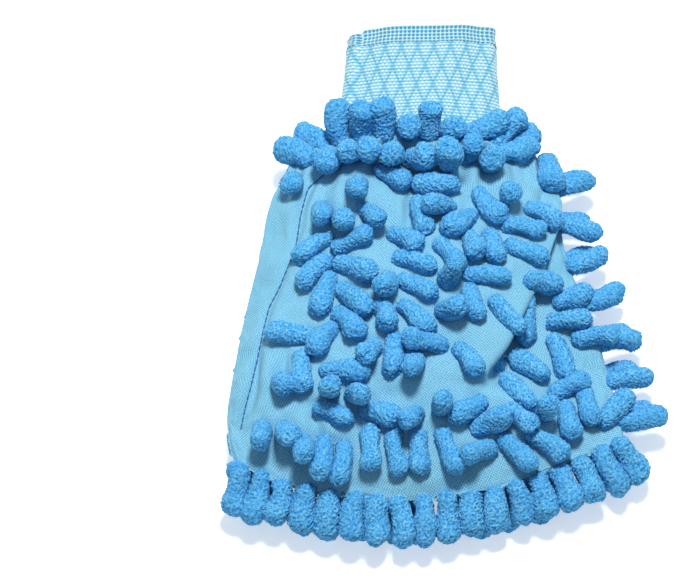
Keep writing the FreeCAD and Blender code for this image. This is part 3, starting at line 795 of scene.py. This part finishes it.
FULL_DETAIL = (68, 70)  # rings and sides of a noodle that shows
LOW_DETAIL = (32, 34)  # of one pressed under the mitt
NUB_SPACING = 1.1 * MM  # between the loops of the pile
NUB_HEIGHT = 0.95 * MM
LOOP_WIDTH = 1.15 * MM
LOOP_LENGTH = 2.1  # times its width
LUMP_HEIGHT = 0.55 * MM
FULLER = 1.03  # how much thicker the soft pile is than its CAD bar
CROWDED = 1.18  # how much thicker again where the noodles are squeezed together, at the neck and the hem
TEMPLATES = 16
PRESS = 2.3 * MM  # how far a noodle's root sinks into the cloth


def solids_of(node):
    """The vertices of each separate solid of a node."""
    points, ends = points_of(node), edges_of(node)
    _, first, label = np.unique(np.round(points, 6), axis=0, return_index=True, return_inverse=True)
    label = label.ravel()
    points = points[first]
    group = np.arange(len(points))
    a, b = label[ends[:, 0]], label[ends[:, 1]]
    while True:
        low = np.minimum(group[a], group[b])
        before = group.copy()
        np.minimum.at(group, a, low)
        np.minimum.at(group, b, low)
        group = group[group]
        if (group == before).all():
            break
    return [points[group == number] for number in np.unique(group)]


def noodle_axes(node):
    """The (one end, other end, radius) of each noodle in a node, between the centres of its round ends."""
    axes = []
    for cloud in solids_of(node):
        centre = (cloud.min(0) + cloud.max(0)) / 2
        direction = np.linalg.eigh(np.cov((cloud - centre).T))[1][:, -1]
        along = (cloud - centre) @ direction
        radius = np.linalg.norm((cloud - centre) - along[:, None] * direction, axis=1).max()
        axes.append((
            centre + direction * (along.min() + radius),
            centre + direction * (along.max() - radius),
            radius,
        ))
    return axes


def capsule_rings(length, radius, rings):
    """(distance along the axis, ring radius) of rings from pole to pole of a round-ended bar."""
    cap = math.pi / 2 * radius
    arc = np.linspace(0, 2 * cap + length, rings)
    turn = (np.minimum(arc, cap) + np.maximum(arc - cap - length, 0)) / radius
    x = np.clip(arc - cap, 0, length) - radius * np.cos(turn)
    r = radius * np.sin(turn)
    return x, np.maximum(r, 1e-7)


def outward_at(place, length):
    """The direction away from a noodle's axis, which runs along +X from 0 to a length."""
    axis = np.zeros_like(place)
    axis[..., 0] = np.clip(place[..., 0], 0.0, length)
    return place - axis


def noodle_template(length, radius, detail, seed):
    """(points, pile height 0 to 1) of a noodle along +X from its root, on a grid of rings."""
    local = np.random.default_rng(seed)
    rings, sides = detail
    x, r = capsule_rings(length, radius, rings)
    angle = np.arange(sides) * 2 * math.pi / sides
    twist = np.arange(rings)[:, None] * 0.5 * 2 * math.pi / sides
    angle = angle[None, :] + twist
    body = np.stack([np.broadcast_to(x[:, None], angle.shape), r[:, None] * np.cos(angle),
                     r[:, None] * np.sin(angle)], -1)
    outward = unit(outward_at(body, length))
    nub_rows = max(3, int((length + math.pi * radius) / (NUB_SPACING * 0.87)))
    nub_x, nub_r = capsule_rings(length, radius, nub_rows)
    relief = np.zeros(angle.shape)
    for i in range(nub_rows):
        count = max(1, int(round(2 * math.pi * nub_r[i] / NUB_SPACING)))
        first = local.uniform(0, 6.3)
        for j in range(count):
            turn = first + (j + local.uniform(-0.4, 0.4)) * 2 * math.pi / count
            place = np.array([nub_x[i] + local.uniform(-0.4, 0.4) * NUB_SPACING,
                              nub_r[i] * math.cos(turn), nub_r[i] * math.sin(turn)])
            away = body - place
            square = (away**2).sum(-1)
            lie = unit(np.cross(local.normal(size=3), outward_at(place, length)))
            square -= (1 - 1 / LOOP_LENGTH**2) * (away @ lie) ** 2
            loop = local.uniform(0.4, 1.0) * (1 - square / (LOOP_WIDTH / 2) ** 2)
            relief = np.maximum(relief, loop)
    lump = waves(np.stack([body[..., 0], radius * np.cos(angle), radius * np.sin(angle)], -1),
                 seed + 500, 6, 250, 750)
    slimmer = -0.13 * radius * (1 - smoothstep(body[..., 0] / length * 1.3)) * (body[..., 0] > -radius * 0.5)
    offset = NUB_HEIGHT * (relief - 0.5) + LUMP_HEIGHT * lump + slimmer
    return body + outward * offset[..., None], relief


def bent_noodle(template, start, end, length, bend, lean, turn, fuller):
    """A template laid from start to end, bent to one side by a share of its length, and turned."""
    points, relief = template
    points = points.reshape(-1, 3).copy()
    axis = end - start
    real = np.linalg.norm(axis)
    axis = axis / real
    points[:, 0] *= real / length
    cosine, sine = math.cos(turn) * fuller, math.sin(turn) * fuller
    y = points[:, 1] * cosine - points[:, 2] * sine
    z = points[:, 1] * sine + points[:, 2] * cosine
    side = unit(lean - axis * (lean @ axis))
    other = np.cross(axis, side)
    share = np.clip(points[:, 0] / real, -0.3, 1.3)
    sweep = bend * real * (share**2 - 0.25 * share)
    slope = bend * (2 * share - 0.25)
    along = points[:, 0] - slope * y
    return start + along[:, None] * axis + (y + sweep)[:, None] * side + z[:, None] * other, relief.ravel()


def body_with(node):
    return next(body for body, nodes in BODIES.items() if node in nodes)


def make_noodles(node, placed, templates, detail, length):
    """A node's noodles as one piece. Each is placed by its two ends and how they move with the cloth."""
    faces_of_one = grid_faces(*detail, closed=True)
    caps = end_caps(*detail)
    verts, quads, ends, nubs, tints = [], [], [], [], []
    fuller = CROWDED if "neck" in node or "mouth" in node or "hem" in node else 1.0
    size = detail[0] * detail[1]
    for number, (start, end, radius, moved, tip_moved) in enumerate(placed):
        lean = np.array([rng.uniform(-1, 1), rng.uniform(-1, 1), rng.uniform(-1.1, 0.2)])
        bend = rng.uniform(0.03, 0.26) if detail == FULL_DETAIL else 0.02
        thicker = fuller * rng.uniform(0.95, 1.1)
        reach = np.linalg.norm(end - start)
        start, end = start + moved, end + tip_moved
        end = start + (end - start) * reach / np.linalg.norm(end - start)
        low = radius * 0.98
        start[2], end[2] = max(start[2], low), max(end[2], low)
        if end[2] < low + 2 * MM:
            lean = np.array([rng.uniform(-1, 1), rng.uniform(-1, 1), 0.0])
            bend *= 0.6
        template = templates[rng.integers(len(templates))]
        points, relief = bent_noodle(template, start, end, length, bend, lean, rng.uniform(0, 6.28), thicker)
        points[:, 2] = np.maximum(points[:, 2], CAD_BOX[0].z)
        base = number * size
        verts.append(points)
        quads.append(faces_of_one + base)
        ends += [[base + i for i in cap] for cap in caps]
        nubs.append(relief)
        tints.append(np.full(size, rng.uniform(0.0, 0.28)))
    faces = np.concatenate(quads).tolist() + ends
    obj = new_piece(node.replace("noodles", "chenille"), np.concatenate(verts), faces, CHENILLE)
    add_values(obj, "nub", np.concatenate(nubs))
    add_values(obj, "tint", np.concatenate(tints))
    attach(obj, body_with(node))
    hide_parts(node)


# ---- The cuff ----

COURSE = 1.67 * MM
WALE = 1.9 * MM
LATTICE_WIDTH = 7.6 * MM
LATTICE_HEIGHT = 20.0 * MM
LATTICE_LINE = 0.68 * MM
WELT_CELL = (1.95 * MM, 1.9 * MM)
KNIT_WALL = 1.7 * MM
PLEAT_AT = 0.74  # share of the way round from the right to the left, over the top
END_TILT = 1.3 * MM  # how much further the right of the cuff's end reaches than its left
CUFF_DETAIL = (150, 400)
WELT_DETAIL = (44, 400)
INNER_ROWS = 16  # of the plain inside


def lattice_stitches(u, v):
    """Stitch height 0 to 1 over the cuff: courses of loops, crossed by lines that make tall diamonds."""
    row = np.floor(v / COURSE)
    in_row = v / COURSE - row
    wale = u / WALE + 0.5 * (row % 2)
    in_wale = wale - np.floor(wale)
    loop = np.sin(math.pi * np.clip(in_row + 0.22 * np.abs(in_wale - 0.5) - 0.05, 0, 1)) ** 0.75
    loop *= 0.5 + 0.5 * np.abs(np.sin(math.pi * in_wale)) ** 0.7
    around = u / u.max()
    cells = round(u.max() / LATTICE_WIDTH)
    line = np.full_like(u, 1e9)
    for slope in (1, -1):
        place = around * cells + slope * v / LATTICE_HEIGHT
        line = np.minimum(line, np.abs(place - np.round(place)) * LATTICE_WIDTH)
    near = np.exp(-((line / LATTICE_LINE) ** 2))
    dots = 0.5 + 0.5 * np.cos(2 * math.pi * (in_row - 0.5))
    return np.clip(0.1 + 0.9 * loop * (1 - 0.75 * near) + near * 0.22 * dots, 0, 1)


def welt_stitches(u, v):
    """Stitch height over the end band: a grid of high ribs round small deep cells, which the knit colour
    paints pale as a painted highlight and dark as painted shade.
    """
    cell = np.abs(np.sin(math.pi * u / WELT_CELL[0]) * np.sin(math.pi * v / WELT_CELL[1]))
    return 0.86 - 0.74 * smoothstep(2.4 * cell - 0.25)


def flatness_at(y):
    """The power that shapes the cuff's oval: 1 is an ellipse, and less is flatter with rounded edges."""
    return 0.95 - 0.33 * smoothstep((y - KNIT_SPAN[0]) / (KNIT_SPAN[1] - KNIT_SPAN[0]))


def flat_oval(angle, width, height, flatness):
    """(x, z) of points round a flattened oval."""
    cosine, sine = np.cos(angle), np.sin(angle)
    x = width * np.sign(cosine) * np.abs(cosine) ** flatness
    return x, height * np.sign(sine) * np.abs(sine) ** flatness


def cuff_point(start, end, angle, share, offset):
    """Points of the cuff's tube: angle round it, share along it, offset outwards."""
    (centre_a, width_a, height_a), (centre_b, width_b, height_b) = start, end
    centre = centre_a + share[..., None] * (centre_b - centre_a)
    bow = 0.6 * MM * np.sin(math.pi * share)
    width = width_a * (1 - share) + width_b * share - bow + offset
    height = height_a * (1 - share) + height_b * share - bow + offset
    x, z = flat_oval(angle, width, height, flatness_at(centre[..., 1]))
    return np.stack([centre[..., 0] + x, centre[..., 1], centre[..., 2] + z], -1)


def even_angles(width, height, flatness, count):
    """Angles that put points evenly round a flattened oval."""
    angle = np.linspace(0, 2 * math.pi, 40 * count)
    x, z = flat_oval(angle, width, height, flatness)
    arc = np.concatenate([[0], np.cumsum(np.hypot(np.diff(x), np.diff(z)))])
    return np.interp(np.arange(count) * arc[-1] / count, arc, angle)


def cuff_relief(angle, share):
    """Slow waves round the knit, and the tuck at its left."""
    around = angle / math.pi
    tuck = (around - PLEAT_AT - 0.09 * (1 - share)) / 0.03
    step = 1.3 * MM * (smoothstep(0.5 - tuck) - 0.5) * np.exp(-((tuck / 5) ** 2))
    groove = -1.1 * MM * np.exp(-(((tuck - 0.3) / 0.5) ** 2))
    wave = 0.45 * MM * np.sin(5 * angle + 0.7) + 0.35 * MM * np.sin(9 * angle + 4 * share)
    return (-step + groove) * (around < 1) + wave


def tucked(angle, share):
    """How much of the band's tuck there is: it starts left of the top and grows towards the cuff's end."""
    return smoothstep((angle / math.pi - PLEAT_AT) / 0.02) * (angle < math.pi) * share


def cuff_wall(start, end, angle, share, offset, rim):
    """The outside or inside of a part of the cuff, with the whole cuff's waves, tilt and tuck."""
    over_all = start[0][1] + share * (end[0][1] - start[0][1]) - KNIT_SPAN[0]
    over_all = over_all / (KNIT_SPAN[1] - KNIT_SPAN[0])
    wall = cuff_point(start, end, angle, share, cuff_relief(angle, over_all) + offset)
    wall[..., 1] += END_TILT * over_all * np.cos(angle) - rim * tucked(angle, share)
    return wall


def knit_tube(name, node, detail, stitches, material, relief_height, rim):
    """A closed knitted tube over a CAD ring: stitched outside, plain inside, rolled at its ends."""
    rows, columns = detail
    start, end = rim_ellipse(node, True), rim_ellipse(node, False)
    middle = flatness_at((start[0][1] + end[0][1]) / 2)
    angle = even_angles((start[1] + end[1]) / 2, (start[2] + end[2]) / 2, middle, columns)
    angle, share = np.meshgrid(angle, np.linspace(0, 1, rows))
    length = end[0][1] - start[0][1]
    y = start[0][1] + share * length
    smooth = cuff_point(start, end, angle, share, 0.0)
    step = np.linalg.norm(np.roll(smooth, -1, 1) - smooth, axis=2)
    u = np.concatenate([np.zeros((rows, 1)), np.cumsum(step, 1)[:, :-1]], 1)
    u = u / u[:, -1:] * u[rows // 2, -1]
    stitch = stitches(u, y - KNIT_SPAN[0])
    ends = np.minimum(share, 1 - share) * length
    roll = -0.6 * MM * (1 - smoothstep(ends / (0.9 * MM)))
    outer = cuff_wall(start, end, angle, share, relief_height * (stitch - 0.5) + roll, rim)
    inner_angle, inner_share = np.meshgrid(angle[0], np.linspace(1, 0, INNER_ROWS))
    inner = cuff_wall(start, end, inner_angle, inner_share, -KNIT_WALL, rim)
    verts = np.concatenate([outer, inner]).reshape(-1, 3)
    faces = grid_faces(rows + INNER_ROWS, columns, closed=True, ring=True)[:, ::-1]
    obj = new_piece(name, verts, faces, material)
    inside = 0.45 + 0.2 * np.sin(inner_angle * 90)
    add_values(obj, "stitch", np.concatenate([stitch, inside]))
    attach(obj, CUFF_BODY)
    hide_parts(node)


# ---- Threads and carried-over pieces ----


def make_stitches(name, paths, radius, stitch, gap, side=1):
    """Rows of stitches along paths in space, each a short thread that dips at its ends."""
    parts = []
    for path in paths:
        far = np.concatenate([[0], np.cumsum(steps(path))])
        place = 0.0
        while place + stitch < far[-1]:
            at = np.linspace(place, place + stitch, 6)
            points = np.stack([np.interp(at, far, path[:, k]) for k in range(3)], -1)
            points[:, 2] += side * radius * np.sin(np.linspace(0, math.pi, 6)) * 0.9
            parts.append(tube(points, radius))
            place += stitch + gap
    verts, faces = join_parts(parts)
    obj = new_piece(name, verts, faces, THREAD)
    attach(obj, POCKET_BODY)
    return obj


def row_stitches(node, side, tree, shift):
    """The stitch rows inside the pocket, moved with their cloth."""
    paths = []
    for cloud in solids_of(node):
        xs = np.linspace(cloud[:, 0].min(), cloud[:, 0].max(), 50)
        order = np.argsort(cloud[:, 0])
        y, z = (np.interp(xs, cloud[order, 0], smoothed(cloud[order, k])) for k in (1, 2))
        line = np.stack([xs, y, z], -1)
        moved = [point + shift(tree.find_nearest(Vector(point))[0]) for point in line]
        paths.append(np.array(moved))
    name = node.replace("threads", "stitches")
    obj = make_stitches(name, paths, 0.25 * MM, 2.6 * MM, 0.4 * MM, -side)
    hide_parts(node)


def smoothed(values, width=9):
    """A running mean that keeps its length."""
    padded = np.pad(values, width // 2, mode="edge")
    return np.convolve(padded, np.ones(width) / width, mode="valid")


def surface_path(cloth, plan, lift):
    """A plan path laid on a cloth, from above."""
    mesh = cloth.data
    tree = BVHTree.FromPolygons([v.co for v in mesh.vertices], [tuple(p.vertices) for p in mesh.polygons])
    points = []
    for x, y in plan:
        hit = tree.ray_cast(Vector((x, y, 0.5)), Vector((0, 0, -1)))[0]
        if hit is not None:
            points.append((x, y, hit.z + lift))
    return np.array(points)


def repaint(materials):
    """Gives each CAD node that still shows its material."""
    for node, obj in frame["nodes"].items():
        if not obj.hide_render:
            slot = next(p["material_slot"] for p in RECORD["subparts"] if p["node"] == node)
            obj.data.materials.clear()
            obj.data.materials.append(materials[slot])


# ---- Building it all ----

OUTLINE = outline()
KNIT_SPAN = rim_ellipse("cuff_knit", True)[0][1], rim_ellipse("cuff_welt", False)[0][1]


def rooted_axes():
    """{node: [(root end, tip end, radius)]}. A noodle's root is its end that is nearer to the cloth."""
    anchors = tree_of("palm_panel", "back_panel", "palm_gather", "back_gather", "cuff_knit", "cuff_welt")
    found = {}
    for node in sorted(node for node in frame["nodes"] if "noodles" in node):
        axes = []
        for a, b, radius in noodle_axes(node):
            far_a, far_b = (anchors.find_nearest(Vector(p))[3] for p in (a, b))
            axes.append((a, b, radius) if far_a <= far_b else (b, a, radius))
        found[node] = axes
    return found


def roots_on(axes, side, tree):
    """Where the noodles of one side meet its CAD cloth."""
    nodes = [node for node in axes if node.startswith(side)]
    return [tree.find_nearest(Vector(a))[0] for node in nodes for a, _, _ in axes[node]]


def moves_with_palm(start, end, radius, tree, shift):
    """How a palm noodle's root and tip move. The tip follows the cloth under it when the noodle lies down."""
    face, normal = tree.find_nearest(Vector(start))[:2]
    moved = shift(face) - np.array(normal) * PRESS
    face, normal, _, far = tree.find_nearest(Vector(end))
    lying = 1 - smoothstep((far - radius) / (1.5 * radius))
    tip_moved = shift(face) - np.array(normal) * PRESS
    return moved, tip_moved * lying + moved * (1 - lying)


def build_mitt():
    axes = rooted_axes()
    palm_tree, back_tree = tree_of("palm_panel"), tree_of("back_panel")
    palm_roots, back_roots = roots_on(axes, "palm", palm_tree), roots_on(axes, "back", back_tree)
    palm, palm_shift = make_cloth("palm_cloth", 1, palm_roots, ["palm_panel", "palm_gather"])
    _, back_shift = make_cloth("back_cloth", -1, back_roots, ["back_panel", "back_gather"])
    lengths = [np.linalg.norm(b - a) for rows in axes.values() for a, b, _ in rows]
    length = float(np.mean(lengths))
    radius = next(iter(axes.values()))[0][2] * FULLER
    full = [noodle_template(length, radius, FULL_DETAIL, 100 + k) for k in range(TEMPLATES)]
    low = [noodle_template(length, radius, LOW_DETAIL, 200 + k) for k in range(TEMPLATES // 2)]
    for node, rows in axes.items():
        hidden = node.startswith("back") or node in ("neck_noodles_back", "left_side_noodles_lower")
        placed = []
        for start, end, thick in rows:
            if node.startswith("palm"):
                moved, tip_moved = moves_with_palm(start, end, thick, palm_tree, palm_shift)
            elif node.startswith("back"):
                moved = tip_moved = np.zeros(3)
            else:
                moved = tip_moved = (start - end) / np.linalg.norm(end - start) * PRESS
            placed.append((start, end, thick, moved, tip_moved))
        make_noodles(node, placed, low if hidden else full, LOW_DETAIL if hidden else FULL_DETAIL, length)
    knit_tube("cuff_lattice_knit", "cuff_knit", CUFF_DETAIL, lattice_stitches, KNIT, 0.9 * MM, 0.0)
    knit_tube("cuff_end_band", "cuff_welt", WELT_DETAIL, welt_stitches, KNIT, 0.7 * MM, 2.6 * MM)
    row_stitches("palm_tuft_threads", 1, palm_tree, palm_shift)
    row_stitches("back_tuft_threads", -1, back_tree, back_shift)
    # The seam's stitches are laid almost without gaps in the dark thread, so they also draw the crease's dark
    # line: partly real stitching, partly painted shade.
    crease = surface_path(palm, smooth_path(on_palm(CREASE), 160), 0.1 * MM)
    make_stitches("left_seam_stitches_and_crease_shade", [crease], 0.34 * MM, 3.4 * MM, 0.1 * MM)
    repaint({"cloth": CLOTH, "thread": THREAD, "knit": KNIT, "elastic": ELASTIC, "chenille": CHENILLE})


build_mitt()

# ---- Floor, light and camera ----

FLOOR_HALF = 1.6
CAMERA_ELEVATION = 65.0
CAMERA_LENS = 200.0
VIEW_WIDTH = 0.3086  # how much of the scene the picture's width takes in at the mitt
AIM_SIDE, AIM_ALONG, AIM_UP = -0.0491, -0.0084, 0.025  # the picture's centre, from the mitt's own


SOFT_SIDE = (0.0, 0.85, 0.53)  # where the soft light is brightest: beyond the cuff and above
SOFT_DARK, SOFT_BRIGHT = 0.02, 0.45


def make_floor():
    half = FLOOR_HALF
    level = CAD_BOX[0].z - 0.4 * MM
    verts = np.array([(-half, -half, level), (half, -half, level), (half, half, level), (-half, half, level)])
    floor = new_piece("floor", verts, [[0, 1, 2, 3]], floor_material())


def add_area_light(name, azimuth, elevation, distance, size, power, colour):
    """A square light round the mitt. Azimuth 0 is behind the camera's side, and 180 beyond the cuff."""
    light = bpy.data.lights.new(name, "AREA")
    light.size = size
    light.energy = power
    light.color = colour
    obj = bpy.data.objects.new(name, light)
    a, e = math.radians(azimuth), math.radians(elevation)
    place = Vector((math.sin(a) * math.cos(e), -math.cos(a) * math.cos(e), math.sin(e))) * distance
    obj.location = place
    obj.rotation_euler = (-place).to_track_quat("-Z", "Y").to_euler()
    bpy.context.scene.collection.objects.link(obj)


def make_lights():
    add_area_light("key", 176, 78, 1.3, 0.24, 17.0, (1.0, 1.0, 1.0))
    add_area_light("fill", -30, 60, 1.5, 1.2, 1.0, (1.0, 1.0, 1.0))
    world = bpy.data.worlds.new("studio")
    world.use_nodes = True
    tree = world.node_tree
    background = tree.nodes["Background"]
    position = tree.nodes.new("ShaderNodeTexCoord")
    facing = tree.nodes.new("ShaderNodeVectorMath")
    facing.operation = "DOT_PRODUCT"
    facing.inputs[1].default_value = SOFT_SIDE
    tree.links.new(position.outputs["Generated"], facing.inputs[0])
    spread = tree.nodes.new("ShaderNodeMapRange")
    set_inputs(spread, From_Min=-1.0, To_Min=SOFT_DARK, To_Max=SOFT_BRIGHT)
    tree.links.new(facing.outputs["Value"], spread.inputs["Value"])
    set_inputs(background, Color=(0.8, 0.92, 1.0, 1.0))
    tree.links.new(spread.outputs["Result"], background.inputs["Strength"])
    bpy.context.scene.world = world
    bpy.context.scene.view_settings.view_transform = "Standard"


def make_camera():
    low, high = CAD_BOX
    aim = Vector(((low.x + high.x) / 2 + AIM_SIDE, (low.y + high.y) / 2 + AIM_ALONG, low.z + AIM_UP))
    data = bpy.data.cameras.new("camera")
    data.lens = CAMERA_LENS
    camera = bpy.data.objects.new("camera", data)
    elevation = math.radians(CAMERA_ELEVATION)
    back = Vector((0, -math.cos(elevation), math.sin(elevation)))
    camera.location = aim + back * (VIEW_WIDTH * data.lens / data.sensor_width)
    camera.rotation_euler = (-back).to_track_quat("-Z", "Y").to_euler()
    bpy.context.scene.collection.objects.link(camera)
    bpy.context.scene.camera = camera


make_floor()
make_lights()
make_camera()
